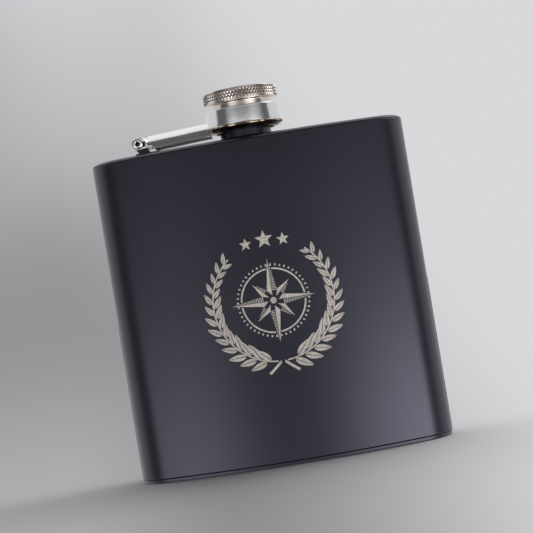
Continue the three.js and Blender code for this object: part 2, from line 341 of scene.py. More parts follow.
# %% Make a mesh object and finish it
def fill_between(shape, rings):
    """Fills the flat area between closed rings of vertex numbers, such as an outline and a hole."""
    shape.verts.ensure_lookup_table()
    edges = []
    for ring in rings:
        for first, second in zip(ring, ring[1:] + ring[:1]):
            pair = (shape.verts[first], shape.verts[second])
            edges.append(shape.edges.get(pair) or shape.edges.new(pair))
    bmesh.ops.triangle_fill(shape, use_beauty=True, use_dissolve=False, edges=edges)


def piece(name, vertices, faces, material, sharp=40, fills=()):
    """A new piece from points in metres. Doubles are merged and faces turned to point outwards."""
    mesh = bpy.data.meshes.new(name)
    mesh.from_pydata(vertices, [], faces)
    shape = bmesh.new()
    shape.from_mesh(mesh)
    for rings in fills:
        fill_between(shape, rings)
    bmesh.ops.remove_doubles(shape, verts=shape.verts, dist=1e-7)
    bmesh.ops.recalc_face_normals(shape, faces=shape.faces)
    shape.to_mesh(mesh)
    shape.free()
    mesh.materials.append(material)
    mesh.shade_smooth()
    mesh.set_sharp_from_angle(angle=math.radians(sharp))
    made = bpy.data.objects.new(name, mesh)
    bpy.context.scene.collection.objects.link(made)
    print(name, len(mesh.polygons), "faces")
    return made


def grid_faces(rows, columns, closed_rows):
    """Quads between rings of points. Columns always close on themselves."""
    faces = []
    for j in range(rows if closed_rows else rows - 1):
        for i in range(columns):
            k = (i + 1) % columns
            below, above = j * columns, (j + 1) % rows * columns
            faces.append((below + i, below + k, above + k, above + i))
    return faces


def turned(name, profile, material, segments=128, sharp=40):
    """Spins a closed profile of (radius, height) in mm about the neck's axis."""
    vertices = []
    for radius, height in profile:
        for i in range(segments):
            angle = 2 * math.pi * i / segments
            x, y = radius * math.cos(angle), radius * math.sin(angle)
            vertices.append((AXIS_X + x * MM, AXIS_Y + y * MM, height * MM))
    return piece(name, vertices, grid_faces(len(profile), segments, True), material, sharp)


def place_on(made, body, slot, *nodes):
    """The piece moves with a body and stands for the nodes, whose frame pieces are hidden. The slot is not
    used.
    """
    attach(made, body)
    if nodes:
        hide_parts(*nodes)


# %% [markdown]
# ## Body
# The side wall is one strip of sheet, bent to a shape that sits on a hip, and welded. Its outline is
# four arcs: a wide front, a wide back about the same centre, and a half round at each end. The ends
# meet the front without a kink, which is why the highlights run smoothly round them.

# %% The body's outline
shell_low, shell_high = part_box("body_shell")
HALF_WIDTH = shell_high.x / MM
FRONT_Y = shell_low.y / MM
RIM_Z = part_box("shoulder_plate")[1].z / MM
THICKNESS = 22.4
BEND_RADIUS = 109.0
END_RADIUS = THICKNESS / 2
BEND_ANGLE = math.asin((HALF_WIDTH - END_RADIUS) / BEND_RADIUS)
BEND_Y = FRONT_Y + BEND_RADIUS + END_RADIUS
print("bend angle", round(math.degrees(BEND_ANGLE), 2), "degrees, rim at", round(RIM_Z, 2), "mm")


def arc(centre, radius, start, end, steps):
    """Points along an arc, without its last one."""
    angles = [start + (end - start) * i / steps for i in range(steps)]
    return [(centre[0] + radius * math.cos(a), centre[1] + radius * math.sin(a)) for a in angles]


def outline(inset, wide=64, tight=28):
    """The body's outline in mm, moved in by inset, anticlockwise from the left of the front."""
    down, up, bend = -math.pi / 2, math.pi / 2, BEND_ANGLE
    end_x = BEND_RADIUS * math.sin(bend)
    end_y = BEND_Y - BEND_RADIUS * math.cos(bend)
    end = END_RADIUS - inset
    points = arc((0, BEND_Y), BEND_RADIUS + end, down - bend, down + bend, wide)
    points += arc((end_x, end_y), end, down + bend, up + bend, tight)
    points += arc((0, BEND_Y), BEND_RADIUS - end, down + bend, down - bend, wide)
    points += arc((-end_x, end_y), end, up - bend, 3 * up - bend, tight)
    return points


def wrapped(name, profile, material, closed=True, hole=None):
    """Carries a profile of (inset, height) in mm round the body.
    An open profile has its two ends filled, with a round hole through both if hole gives its radius."""
    vertices, columns = [], len(outline(0))
    for inset, height in profile:
        vertices += [(x * MM, y * MM, height * MM) for x, y in outline(inset)]
    faces = grid_faces(len(profile), columns, closed)
    if closed:
        return piece(name, vertices, faces, material, 50)
    rims = [list(range(columns)), list(range(len(vertices) - columns, len(vertices)))]
    if hole is None:
        return piece(name, vertices, faces + rims, material, 50)
    sides = 64
    first = len(vertices)
    for height in (profile[0][1], profile[-1][1]):
        rim = arc((AXIS_X / MM, AXIS_Y / MM), hole, 0, 2 * math.pi, sides)
        vertices += [(x * MM, y * MM, height * MM) for x, y in rim]
    holes = [list(range(first, first + sides)), list(range(first + sides, first + 2 * sides))]
    faces += [(a, b, b + sides, a + sides) for a, b in zip(holes[0], holes[0][1:] + holes[0][:1])]
    return piece(name, vertices, faces, material, 50, list(zip(rims, holes)))


# %% [markdown]
# The wall's two ends are cut edges, broken with a small radius, and the plates sit in them. The thin
# lines of light and shadow along the rims come from those radii meeting over a narrow groove.

# %% Wall, shoulder and base
WALL = 0.6
BASE_RIM = shell_low.z / MM
SHOULDER_SEAM = shell_high.z / MM

wall_profile = rounded([
    (0, BASE_RIM, 0.28), (0, SHOULDER_SEAM, 0.22),
    (WALL, SHOULDER_SEAM, 0.1), (WALL, BASE_RIM, 0.1),
])
wall = wrapped("side_wall", wall_profile, coating)
place_on(wall, "flask", "coating", "body_shell")

SKIRT, SKIRT_INSIDE = 0.7, 1.4
PLATE = 0.8
FILL_INSET = 3
base_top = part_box("base_plate")[1].z / MM
base_profile = rounded([
    (SKIRT_INSIDE, PLATE, 0), (SKIRT_INSIDE, base_top, 0.2), (SKIRT, base_top, 0.2),
    (SKIRT, BASE_RIM - 0.15, 0.1), (0.05, BASE_RIM - 0.05, 0.15),
    (0.33, 0.1, 0.25), (1.1, 0, 0.3), (FILL_INSET, 0, 0),
])
base = wrapped("base_tray", base_profile, coating, closed=False)
place_on(base, "flask", "coating", "base_plate")

NECK_HOLE = 6.6
EDGE_INSET, EDGE_ROUND, EDGE_START = 0.12, 2.4, math.radians(40)
shoulder_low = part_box("shoulder_plate")[0].z / MM
crown = [
    (
        EDGE_INSET + EDGE_ROUND * (math.cos(EDGE_START) - math.cos(t)),
        RIM_Z - EDGE_ROUND * (1 - math.sin(t)),
    )
    for t in np.linspace(EDGE_START, math.pi / 2, 10)
]
skirt_profile = rounded([
    (FILL_INSET, SHOULDER_SEAM, 0), (SKIRT_INSIDE, SHOULDER_SEAM, 0.2),
    (SKIRT_INSIDE, shoulder_low, 0.2), (SKIRT, shoulder_low, 0.2),
    (SKIRT, SHOULDER_SEAM + 0.1, 0.1), (0.25, SHOULDER_SEAM + 0.06, 0),
])
shoulder = wrapped("shoulder", skirt_profile + crown, coating, closed=False, hole=NECK_HOLE)
place_on(shoulder, "flask", "coating", "shoulder_plate")

# %% [markdown]
# ## Screw threads
# A thread is one ridge that follows a helix, so Geometry Nodes make it: a spiral curve carries a
# small diamond as its section. About half of the diamond is buried in the wall, so no gap shows. The
# same tree makes the neck's thread and, with other numbers, the one inside the cap.

# %% Geometry Nodes helpers
def new_tree(name, inputs):
    """A geometry tree with named inputs. Returns its graph and a value for each input."""
    tree = bpy.data.node_groups.new(name, "GeometryNodeTree")
    tree.interface.new_socket("Geometry", in_out="OUTPUT", socket_type="NodeSocketGeometry")
    for label, kind in inputs.items():
        tree.interface.new_socket(label, in_out="INPUT", socket_type="NodeSocket" + kind)
    graph = Graph(tree)
    source = graph.make("NodeGroupInput")
    return graph, {label: graph.out(source, label) for label in inputs}


def end_tree(graph, geometry, material):
    """Realises the instances, gives them their material and sends them out."""
    real = graph.make("GeometryNodeRealizeInstances", None, {"Geometry": geometry})
    painted = graph.make(
        "GeometryNodeSetMaterial", None, {"Geometry": graph.out(real, "Geometry"), "Material": material}
    )
    end = graph.make("NodeGroupOutput")
    graph.feed(end.inputs["Geometry"], graph.out(painted, "Geometry"))


def grown(name, graph, values, sharp=30):
    """Runs a geometry tree with these input values and returns the plain mesh object it makes."""
    made = bpy.data.objects.new(name, bpy.data.meshes.new(name))
    bpy.context.scene.collection.objects.link(made)
    modifier = made.modifiers.new("grow", "NODES")
    modifier.node_group = graph.tree
    for item in graph.tree.interface.items_tree:
        if item.in_out == "INPUT" and item.name in values:
            modifier[item.identifier] = values[item.name]
    made.update_tag()
    bpy.context.view_layer.update()
    real = made.evaluated_get(bpy.context.evaluated_depsgraph_get())
    mesh = bpy.data.meshes.new_from_object(real)
    made.modifiers.clear()
    made.data = mesh
    mesh.shade_smooth()
    mesh.set_sharp_from_angle(angle=math.radians(sharp))
    print(name, len(mesh.polygons), "faces grown")
    return made


def joined(name, *objects):
    """One object from several, under a new name."""
    target = objects[0]
    with bpy.context.temp_override(active_object=target, selected_editable_objects=list(objects)):
        bpy.ops.object.join()
    target.name = name
    target.data.name = name
    return target


# %% The thread tree
thread_inputs = {
    "Radius": "Float", "Turns": "Float", "Height": "Float", "Start": "Float",
    "Ridge": "Float", "Material": "Material",
}
thread, t = new_tree("thread", thread_inputs)
spiral = thread.make("GeometryNodeCurveSpiral", None, {
    "Resolution": 64, "Rotations": t["Turns"], "Start Radius": t["Radius"],
    "End Radius": t["Radius"], "Height": t["Height"],
})
section_curve = thread.make(
    "GeometryNodeCurvePrimitiveCircle", {"mode": "RADIUS"}, {"Resolution": 4, "Radius": t["Ridge"]}
)
ridge = thread.make("GeometryNodeCurveToMesh", None, {
    "Curve": thread.out(spiral, "Curve"), "Profile Curve": thread.out(section_curve, "Curve"),
    "Fill Caps": True,
})
lifted = thread.make("GeometryNodeTransform", None, {
    "Geometry": thread.out(ridge, "Mesh"), "Translation": thread.combine(AXIS_X, AXIS_Y, t["Start"]),
})
end_tree(thread, thread.out(lifted, "Geometry"), t["Material"])

# %% [markdown]
# ## Neck
# The neck is turned from bar, pushed up through the shoulder and welded under it. Its boss and its
# rim are coated with the body. A funnel or a lip meets the mouth, so its rim is rounded.

# %% Neck
mouth_z = neck_high.z / MM
BOSS_RADIUS = 7.45
BOSS_TOP = RIM_Z + 2.7
THREAD_ROOT = 6.45
THREAD_PITCH = 1.5
THREAD_TURNS = 2.7
NECK_BORE = 5.8
NECK_STEM = NECK_HOLE - 0.1
neck_bottom = neck_low.z / MM
flange_radius = (neck_high.x - neck_low.x) / 2 / MM
neck_profile = rounded([
    (NECK_BORE, neck_bottom, 0.15), (flange_radius, neck_bottom, 0.1),
    (flange_radius, neck_bottom + PLATE, 0.1), (NECK_STEM, neck_bottom + PLATE, 0.05),
    (NECK_STEM, RIM_Z + 0.05, 0.05), (BOSS_RADIUS + 0.25, RIM_Z + 0.02, 0.05),
    (BOSS_RADIUS, RIM_Z + 0.4, 0.3), (BOSS_RADIUS, BOSS_TOP, 0.3), (THREAD_ROOT, BOSS_TOP, 0.15),
    (THREAD_ROOT, mouth_z, 0.25), (NECK_BORE, mouth_z, 0.25),
])
neck_wall = turned("neck_wall", neck_profile, coating)
neck_ridge = grown("neck_ridge", thread, {
    "Radius": (THREAD_ROOT + 0.02) * MM, "Turns": THREAD_TURNS,
    "Height": THREAD_TURNS * THREAD_PITCH * MM,
    "Start": (BOSS_TOP + 0.75) * MM, "Ridge": 0.45 * MM, "Material": coating,
})
neck = joined("neck", neck_wall, neck_ridge)
place_on(neck, "flask", "coating", "threaded_neck")

# %% [markdown]
# ## Hinge
# The bracket is a small pressed foot with a knuckle, spot welded to the shoulder before coating. Its
# frame shape is right, so a merged copy of it only needs its edges broken by a Bevel modifier. The
# pin is a rivet with a domed head at both ends, so that it can't walk out. Each head is drilled a
# little way in.

# %% Bracket and pin
def refined(name, node, material, width):
    """A merged copy of a frame node with flat areas cleaned and edges broken."""
    shape = bmesh.new()
    shape.from_mesh(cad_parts[node].data)
    bmesh.ops.remove_doubles(shape, verts=shape.verts, dist=1e-6)
    flat = math.radians(2)
    bmesh.ops.dissolve_limit(shape, angle_limit=flat, verts=shape.verts, edges=shape.edges)
    mesh = bpy.data.meshes.new(name)
    shape.to_mesh(mesh)
    shape.free()
    mesh.materials.append(material)
    made = bpy.data.objects.new(name, mesh)
    bpy.context.scene.collection.objects.link(made)
    bevel = made.modifiers.new("edges", "BEVEL")
    bevel.width = width
    bevel.segments = 2
    bevel.limit_method = "ANGLE"
    bevel.angle_limit = math.radians(35)
    mesh.shade_smooth()
    mesh.set_sharp_from_angle(angle=math.radians(35))
    print(name, len(mesh.polygons), "faces before its bevel")
    return made


bracket = refined("hinge_foot", "hinge_bracket", coating, 0.1 * MM)
place_on(bracket, "flask", "coating", "hinge_bracket")

PIN_RADIUS = (pin_high.x - pin_low.x) / 2 / MM
PIN_HOLE = 0.6
pin_half = (pin_high.y - pin_low.y) / 2 / MM
PIN_HEAD, HEAD_DEPTH, HOLE_DEPTH = 1.6, 0.55, 1.2
end, neck_at = pin_half, pin_half - HEAD_DEPTH
one_end = [
    (0.02, end - HOLE_DEPTH, 0), (PIN_HOLE, end - HOLE_DEPTH, 0.1), (PIN_HOLE, end, 0.2),
    (1.15, end, 0.5), (PIN_HEAD, end - 0.3, 0.25), (PIN_HEAD, neck_at, 0.05), (PIN_RADIUS, neck_at, 0.02),
]
other_end = [(radius, -along, corner) for radius, along, corner in reversed(one_end)]
pin_profile = rounded(one_end + other_end, 4)
pin_points = []
for radius, along in pin_profile:
    for x, z in arc((PIN_X, PIN_Z), radius, 0, 2 * math.pi, 40):
        pin_points.append((x * MM, AXIS_Y + along * MM, z * MM))
pin = piece("pin", pin_points, grid_faces(len(pin_profile), 40, True), pin_steel)
place_on(pin, "arm", "polished_steel", "hinge_pin")

# %% [markdown]
# ## Arm
# The arm is one strip of spring steel. It is arched for stiffness, and near the hinge it flattens and
# is curled into two eyes round the pin. A loft suits it: one section is repeated at stations along
# the arm, and only its arch angle, its height and its place change.

# %% Arm strip
collar_low, collar_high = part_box("lid_collar")
COLLAR_RADIUS = (collar_high.x - collar_low.x) / 2 / MM
SHEET = 0.75
EYE_RADIUS = 1.85
RISE = math.tan(math.radians(3))
ARM_RADIUS, FULL_ARCH = 4.6, 1.5
FLAT_CURVE = 0.02
EYE_INNER, EYE_OUTER = 2.35, 4.1
FLAT_X, ARCHED_X, FULL_X = PIN_X + 1.0, PIN_X + 2.9, PIN_X + 4.9
print("eye radius", EYE_RADIUS, "arm radius", ARM_RADIUS)


def arch_at(x):
    """The strip's outer radius and half-angle at x: nearly flat at the eyes, then a full arch."""
    share = min(1, max(0, (x - FLAT_X) / (ARCHED_X - FLAT_X)))
    share = 3 * share ** 2 - 2 * share ** 3
    radius = 1 / (FLAT_CURVE + share * (1 / ARM_RADIUS - FLAT_CURVE))
    half = math.asin((EYE_OUTER - 0.16 * share) / radius)
    opened = min(1, max(0, (x - ARCHED_X) / (FULL_X - ARCHED_X)))
    return radius, half + (FULL_ARCH - half) * opened


def section(x, side):
    """A closed section at x as (y, z) in mm: the whole strip, or one side of it along the slot."""
    radius, half = arch_at(x)
    start = math.asin(EYE_INNER / radius) if side else -half
    angles = [start + (half - start) * i / 20 for i in range(21)]
    crest = PIN_Z + EYE_RADIUS + (x - PIN_X) * RISE
    turned_way = -1 if side < 0 else 1
    ring = []
    for layer, way in ((radius, 1), (radius - SHEET, -1)):
        for angle in angles[::way]:
            ring.append((turned_way * layer * math.sin(angle), crest - radius + layer * math.cos(angle)))
    return ring


def strip(name, stations, side):
    """A loft of sections. The whole strip's last one meets the collar's round wall."""
    points, size = [], 0
    for x in stations:
        ring = section(x, side)
        size = len(ring)
        for y, z in ring:
            wall = AXIS_X / MM - math.sqrt((COLLAR_RADIUS - 0.15) ** 2 - y ** 2)
            place = wall if side == 0 and x == stations[-1] else x
            points.append((place * MM, AXIS_Y + y * MM, z * MM))
    faces = grid_faces(len(stations), size, False)
    faces += [tuple(range(size)), tuple(range(len(points) - size, len(points)))]
    return piece(name, points, faces, drawn_steel, 35)


whole = strip("arm_strip", [*np.linspace(ARCHED_X, FULL_X, 6), -22, -18, -14, -11], 0)
sides = [strip("arm_side", list(np.linspace(PIN_X, ARCHED_X + 0.02, 14)), side) for side in (1, -1)]

# %% Curled eyes
TAIL, TAIL_RISE = 4.3, 0.35


def curl():
    """Side outline of an eye: round the pin from its top, and out along a short tail."""
    up, centre = math.pi / 2, (PIN_X, PIN_Z)
    outer = arc(centre, EYE_RADIUS, up, 3 * up, 28)
    tail_z = PIN_Z - EYE_RADIUS + TAIL_RISE
    outer += [(PIN_X, PIN_Z - EYE_RADIUS), (PIN_X + TAIL, tail_z)]
    inner_radius = PIN_RADIUS + 0.05
    inner = [(PIN_X + TAIL, tail_z + SHEET), (PIN_X, PIN_Z - inner_radius)]
    inner += arc(centre, inner_radius, -up, -3 * up, 28)
    inner += [(PIN_X, PIN_Z + inner_radius)]
    return outer + inner


def eye(side):
    ring = curl()
    steps = [side * EYE_INNER, side * EYE_OUTER]
    points = [(x * MM, AXIS_Y + y * MM, z * MM) for y in steps for x, z in ring]
    faces = grid_faces(2, len(ring), False)
    faces += [tuple(range(len(ring))), tuple(range(len(ring), 2 * len(ring)))]
    return piece("eye", points, faces, drawn_steel, 35)


arm = joined("arm_with_eyes", whole, *sides, eye(-1), eye(1))
bevel = arm.modifiers.new("edges", "BEVEL")
bevel.width = 0.09 * MM
bevel.segments = 2
bevel.limit_method = "ANGLE"
bevel.angle_limit = math.radians(50)
place_on(arm, "arm", "polished_steel", "lid_arm")

# %% [markdown]
# ## Collar
# The collar is a drawn ring with a rolled top, which the cap's barrel slides through. Drawing leaves
# it a little narrower at the top. A flared ring closes it from below. Both are turned shapes, so
# each is one profile.

# %% Collar, brim and retaining ring
brim_low, brim_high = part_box("collar_brim")
BRIM_RADIUS = (brim_high.x - brim_low.x) / 2 / MM
HOLE = 8.6
COLLAR_TAPER, TAPER_POWER = 0.22, 1.4
COLLAR_INSIDE, COLLAR_TOP_PLATE, COLLAR_SHOULDER = COLLAR_RADIUS - 0.8, 0.6, 0.45
low, top = collar_low.z / MM, collar_high.z / MM
collar_wall = [
    (COLLAR_RADIUS - COLLAR_TAPER * t ** TAPER_POWER, low + (top - low - COLLAR_SHOULDER) * t, 0.02)
    for t in np.linspace(0, 1, 9)
]
collar_profile = rounded([
    (COLLAR_INSIDE, low, 0.1), *collar_wall, (COLLAR_RADIUS - COLLAR_TAPER, top, 0.38),
    (HOLE, top, 0.18), (HOLE, top - COLLAR_TOP_PLATE, 0.1),
    (COLLAR_INSIDE, top - COLLAR_TOP_PLATE, 0.1),
])
collar = turned("collar", collar_profile, steel, 160)
place_on(collar, "arm", "polished_steel", "lid_collar")

low, top = brim_low.z / MM, brim_high.z / MM
brim_profile = rounded([
    (HOLE, low, 0.2), (HOLE + 0.7, low, 0.3), (BRIM_RADIUS - 0.7, top - 1.0, 0.4),
    (BRIM_RADIUS, top - 0.55, 0.15), (BRIM_RADIUS, top - 0.2, 0.15),
    (BRIM_RADIUS - 0.35, top, 0.2), (HOLE, top, 0.1),
])
brim = turned("brim", brim_profile, brim_nickel_with_painted_reflections, 160)
place_on(brim, "arm", "warm_nickel", "collar_brim")

ring_low, ring_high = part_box("cap_retaining_ring")
low, top = ring_low.z / MM, ring_high.z / MM
ring_radius = (ring_high.x - ring_low.x) / 2 / MM
RING_HOLE = 8.06
ring_profile = rounded([
    (RING_HOLE, low, 0.15), (ring_radius, low, 0.2), (ring_radius, top, 0.2), (RING_HOLE, top, 0.15),
])
ring = turned("retaining_ring", ring_profile, steel)
place_on(ring, "cap_slide", "polished_steel", "cap_retaining_ring")

# %% [markdown]
# ## Cap
# The cap is turned from one bar: a barrel, a groove for its ring, and a head. The head's grip is a
# diamond knurl, where two sets of slanted grooves leave rows of small pyramids. Geometry Nodes place
# one pyramid per crossing, every second row half a step round.

# %% The knurl tree
knurl_inputs = {
    "Teeth": "Int", "Rows": "Int", "Radius": "Float", "Low": "Float",
    "Half width": "Float", "Half height": "Float", "Depth": "Float", "Material": "Material",
}
knurl, k = new_tree("diamond_knurl", knurl_inputs)
number = knurl.out(knurl.make("GeometryNodeInputIndex"), "Index")
row = knurl.maths("FLOOR", number / k["Teeth"])
column = number - row * k["Teeth"]
half_step = knurl.maths("MODULO", row, 2.0) * 0.5
angle = (column + half_step) * (2 * math.pi) / k["Teeth"]
spot = knurl.combine(
    knurl.maths("COSINE", angle) * k["Radius"] + AXIS_X,
    knurl.maths("SINE", angle) * k["Radius"] + AXIS_Y,
    k["Low"] + (row + 1) * k["Half height"],
)
spots = knurl.make("GeometryNodePoints", None, {"Count": k["Teeth"] * k["Rows"], "Position": spot})
tooth = knurl.make("GeometryNodeMeshCone", {"fill_type": "NGON"}, {
    "Vertices": 4, "Radius Top": 0.0, "Radius Bottom": 1.0, "Depth": 1.0,
})
teeth = knurl.make("GeometryNodeInstanceOnPoints", None, {
    "Points": knurl.out(spots), "Instance": knurl.out(tooth, "Mesh"),
    "Rotation": knurl.combine(0.0, math.pi / 2, angle),
    "Scale": knurl.combine(k["Half height"], k["Half width"], k["Depth"]),
})
end_tree(knurl, knurl.out(teeth, "Instances"), k["Material"])

# %% Cap
cap_low, cap_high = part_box("screw_cap")
HEAD_RADIUS = (cap_high.x - cap_low.x) / 2 / MM
HEAD_UNDER = RIM_Z + 10.7
BARREL = 8.35
CAP_BORE = 7.5
GROOVE = 8.0
KNURL_DEPTH = 0.36
KNURL_TEETH = 70
KNURL_ROWS = 3
KNURL_EDGE = 0.16
KNURL_LOW = HEAD_UNDER + KNURL_EDGE
KNURL_HIGH = cap_high.z / MM - KNURL_EDGE
top = cap_high.z / MM
seal_low, seal_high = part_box("cap_seal")
ceiling = seal_high.z / MM + 0.05
core = HEAD_RADIUS - KNURL_DEPTH
cap_profile = rounded([
    (0.02, ceiling, 0), (CAP_BORE, ceiling, 0.2),
    (CAP_BORE, cap_low.z / MM, 0.15), (BARREL, cap_low.z / MM, 0.2),
    (BARREL, ring_low.z / MM - 0.05, 0.05), (GROOVE, ring_low.z / MM - 0.05, 0.05),
    (GROOVE, ring_high.z / MM + 0.05, 0.05), (BARREL, ring_high.z / MM + 0.05, 0.05),
    (BARREL, HEAD_UNDER, 0.35), (core, HEAD_UNDER, 0.1),
    (core, top - 0.02, 0.12), (HEAD_RADIUS - 2.2, top - 0.02, 0.3),
    (HEAD_RADIUS - 2.6, top - 0.22, 0.3), (0.02, top - 0.05, 0),
])
cap_core = turned("cap_core", cap_profile, nickel, 180, 35)
cap_ridge = grown("cap_ridge", thread, {
    "Radius": (CAP_BORE + 0.3) * MM, "Turns": 1.5, "Height": 1.5 * THREAD_PITCH * MM,
    "Start": (mouth_z - 2.9) * MM, "Ridge": 0.38 * MM, "Material": nickel,
})
cap_teeth = grown("cap_teeth", knurl, {
    "Teeth": KNURL_TEETH, "Rows": KNURL_ROWS, "Radius": (core - 0.02) * MM, "Low": KNURL_LOW * MM,
    "Half width": math.pi * HEAD_RADIUS / KNURL_TEETH * MM,
    "Half height": (KNURL_HIGH - KNURL_LOW) / (KNURL_ROWS + 1) * MM,
    "Depth": (KNURL_DEPTH + 0.02) * MM, "Material": grip_nickel,
}, 20)
cap = joined("cap", cap_core, cap_ridge, cap_teeth)
place_on(cap, "cap", "warm_nickel", "screw_cap")

low, top = seal_low.z / MM, seal_high.z / MM
seal_radius = (seal_high.x - seal_low.x) / 2 / MM
seal_profile = rounded([
    (0.02, low, 0), (4.6, low, 0.3), (4.9, low + 0.15, 0.2), (seal_radius - 0.6, low, 0.2),
    (seal_radius, low + 0.1, 0.3), (seal_radius, top, 0.2), (0.02, top, 0),
])
seal = turned("mouth_seal", seal_profile, seal_skin, 96)
place_on(seal, "cap", "seal", "cap_seal")

# %% [markdown]
# ## Engraving
# The front carries an engraved ornament: a laurel wreath round an eight-point compass star. It could
# be a colour mask, but thin real shapes stay sharp at any distance. It is drawn flat first, then laid
# on the bent front. The leaves repeat along a branch, so Geometry Nodes place them in pairs.

# %% The laurel tree
laurel_inputs = {
    "Leaf": "Object", "Pairs": "Int", "Radius": "Float", "Start": "Float", "Sweep": "Float",
    "Turn": "Float", "Lean": "Float", "Taper": "Float", "Seed": "Int", "Material": "Material",
}
laurel, b = new_tree("laurel_branch", laurel_inputs)
number = laurel.out(laurel.make("GeometryNodeInputIndex"), "Index")
pair = laurel.maths("FLOOR", number / 2.0)
side = (number - 2.0 * pair) * 2.0 - 1.0
along = pair / (b["Pairs"] - 1.0)
angle = b["Start"] + b["Sweep"] * (along * 0.94 + (number - 2.0 * pair) * 0.03)
spot = laurel.combine(
    laurel.maths("COSINE", angle) * b["Radius"], laurel.maths("SINE", angle) * b["Radius"], 0.0
)
spots = laurel.make("GeometryNodePoints", None, {"Count": b["Pairs"] * 2.0, "Position": spot})
drawn_leaf = laurel.make("GeometryNodeObjectInfo", {"transform_space": "ORIGINAL"}, {"Object": b["Leaf"]})
luck = laurel.make(
    "FunctionNodeRandomValue", {"data_type": "FLOAT"}, {2: -0.06, 3: 0.06, "Seed": b["Seed"]}
)
chance = laurel.out(luck, 1)
size = 1.0 - b["Taper"] * along + chance
heading = angle + b["Turn"] * (math.pi / 2) + side * (b["Lean"] + chance)
leaves = laurel.make("GeometryNodeInstanceOnPoints", None, {
    "Points": laurel.out(spots), "Instance": laurel.out(drawn_leaf, "Geometry"),
    "Rotation": laurel.combine(0.0, 0.0, heading), "Scale": laurel.combine(size, size, size),
})
end_tree(laurel, laurel.out(leaves, "Instances"), b["Material"])


# %% Flat shapes of the ornament
def flat(name, polygons):
    """Flat polygons in mm, as one mesh object."""
    points = [(x, y, 0) for polygon in polygons for x, y in polygon]
    faces, first = [], 0
    for polygon in polygons:
        faces.append(tuple(range(first, first + len(polygon))))
        first += len(polygon)
    mesh = bpy.data.meshes.new(name)
    mesh.from_pydata(points, [], faces)
    mesh.materials.append(engraved)
    made = bpy.data.objects.new(name, mesh)
    bpy.context.scene.collection.objects.link(made)
    return made


LEAF_LENGTH = 5.3
LEAF_HALF = 0.98
VEIN = 0.1
STEM_GAP = 0.75


def leaf_halves():
    """A pointed leaf along +X in two halves, with an open vein between them."""
    halves = []
    for side in (1, -1):
        steps = [i / 9 for i in range(10)]
        rim = []
        for t in steps:
            swell = math.sin(math.pi * t ** 0.8) ** 0.9 * (1 - 0.25 * t)
            rim.append((STEM_GAP + LEAF_LENGTH * t, side * (VEIN + LEAF_HALF * swell)))
        halves.append(rim + [(STEM_GAP + LEAF_LENGTH * 0.93, side * VEIN * 0.6)] if side > 0 else rim)
    return halves


def band(inner, outer, start, end, steps, middle=(0, 0)):
    """A stretch of a flat ring."""
    there = arc(middle, outer, start, end, steps) + arc(middle, outer, end, end, 1)
    back = arc(middle, inner, end, start, steps) + arc(middle, inner, start, start, 1)
    return there + back


def spun(polygon, angle):
    """A polygon turned about the ornament's middle."""
    cosine, sine = math.cos(angle), math.sin(angle)
    return [(x * cosine - y * sine, x * sine + y * cosine) for x, y in polygon]


def star_point(length, shoulder, waist):
    """One point of the star along +X: one half plain, the other half hatched."""
    plain = [(1.5, 0.1), (length, 0.02), (shoulder, waist)]
    hatches = []
    x = shoulder
    while x < length - 1.2:
        edge = waist * (length - x) / (length - shoulder)
        hatches.append([(x, -0.1), (x + 0.2, -0.1), (x + 0.2, -edge), (x, -edge)])
        x += 0.46
    return [plain, *hatches]


def little_star(x, y, radius):
    points = []
    for i in range(10):
        reach = radius if i % 2 == 0 else radius * 0.42
        turn = math.pi / 2 + i * math.pi / 5
        points.append((x + reach * math.cos(turn), y + reach * math.sin(turn)))
    return points


# %% Draw the ornament
WREATH = 17.4
STAR_LONG, STAR_SHORT = 12.2, 7.6
polygons = [band(0, 0.9, 0, 2 * math.pi, 24)]
for i in range(4):
    for polygon in star_point(STAR_LONG, 2.9, 1.45):
        polygons.append(spun(polygon, i * math.pi / 2))
    for polygon in star_point(STAR_SHORT, 3.3, 1.15):
        polygons.append(spun(polygon, (i + 0.5) * math.pi / 2))
for i in range(4):
    start = i * math.pi / 2
    polygons.append(band(8.9, 9.35, start + 0.085, start + math.pi / 2 - 0.085, 20))
for i in range(48):
    start = (i + 0.5) * math.pi / 24
    if abs(math.sin(2 * start)) > 0.1:
        polygons.append(band(9.9, 10.5, start - 0.02, start + 0.02, 1))
for side in (1, -1):
    start, sweep = -math.pi / 2 + side * 0.08, side * math.radians(136)
    polygons.append(band(WREATH - 0.2, WREATH + 0.2, start, start + sweep, 48))
    stalk = [(0.5, -WREATH + 0.25), (4.6, -WREATH - 3.0), (4.0, -WREATH - 3.5), (0.5, -WREATH - 0.6)]
    polygons.append([(x * side, y) for x, y in stalk])
for x, y, radius in ((0, 17.6, 2.7), (5.4, 16.9, 1.9), (-5.4, 16.9, 1.9)):
    polygons.append(little_star(x, y, radius))
artwork = flat("artwork", polygons)

leaf_shape = flat("leaf_shape", leaf_halves())
branches = []
for side, seed in ((1, 3), (-1, 8)):
    branches.append(grown("leaves", laurel, {
        "Leaf": leaf_shape, "Radius": WREATH, "Start": -math.pi / 2 + side * 0.16,
        "Sweep": side * math.radians(128), "Turn": float(side), "Pairs": 13,
        "Lean": math.radians(33), "Taper": 0.42, "Seed": seed, "Material": engraved,
    }))
bpy.data.objects.remove(leaf_shape)
engraving = joined("engraving", artwork, *branches)

# %% [markdown]
# The drawing is cut into narrow upright strips, so that it can bend, and each point is then moved onto
# the front's arc. A depth of a few hundredths of a millimetre keeps it just proud of the coating.

